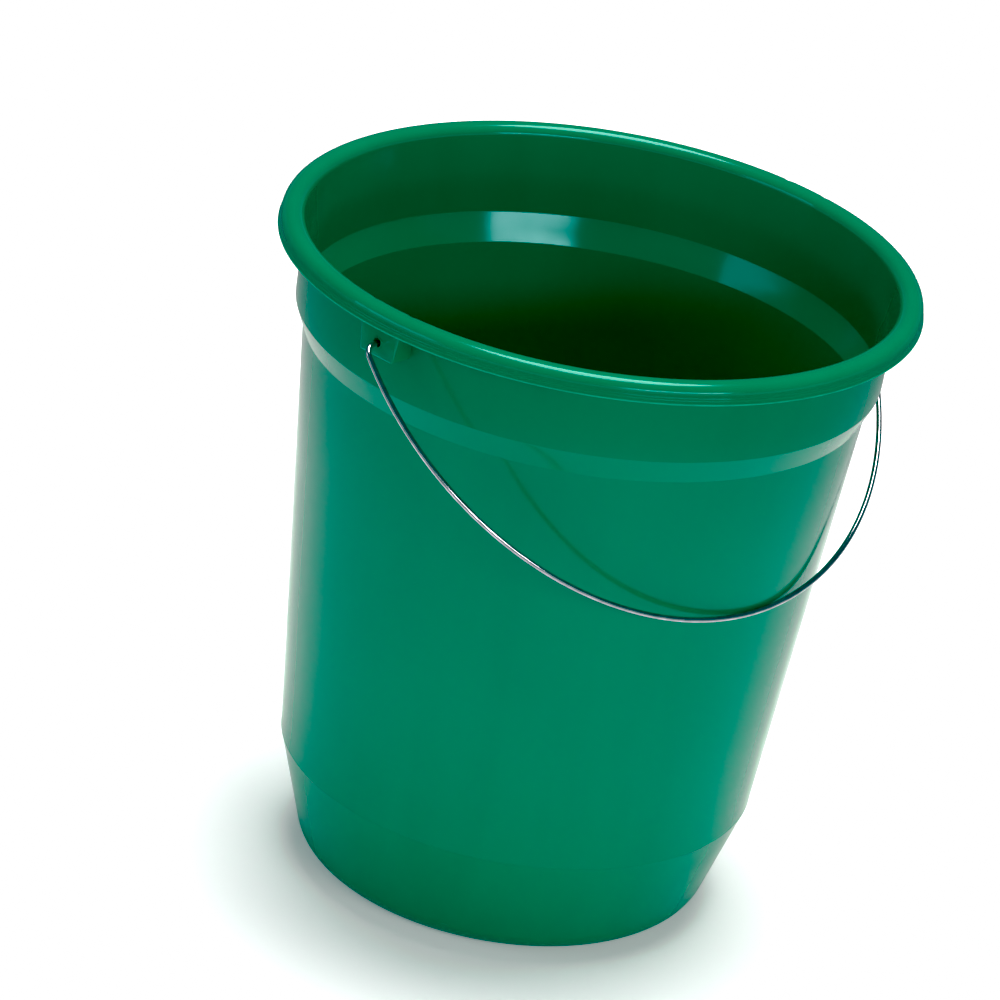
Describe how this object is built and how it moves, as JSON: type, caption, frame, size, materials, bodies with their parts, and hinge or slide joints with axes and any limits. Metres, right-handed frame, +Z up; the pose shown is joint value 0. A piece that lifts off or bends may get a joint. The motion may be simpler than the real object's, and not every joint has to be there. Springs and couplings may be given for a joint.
{
  "type": "bucket",
  "caption": "Tall round plastic garden bucket with a rolled rim, a stacking shoulder, ears moulded under the rim and a bare steel wire bail that swings in them.",
  "frame": {"origin": "centre of the pail's flat floor, on the plane it stands on", "axes": "+Z up along the pail's axis, the ears on X, and the bail hangs towards -Y"},
  "size_m": [0.3388, 0.32, 0.341],
  "materials": {
    "green_plastic": "glossy injection-moulded polypropylene in a deep green",
    "bright_steel": "bright drawn and plated steel wire"
  },
  "bodies": {
    "pail_body": {"pail": "green_plastic"},
    "bail_body": {"bail": "bright_steel"}
  },
  "joints": [
    {"name": "bail_swing", "type": "hinge", "parent": "pail_body", "child": "bail_body", "pos_m": [0, 0, 0.3236], "axis": [-1, 0, 0], "range_deg": [0, 264]}
  ]
}
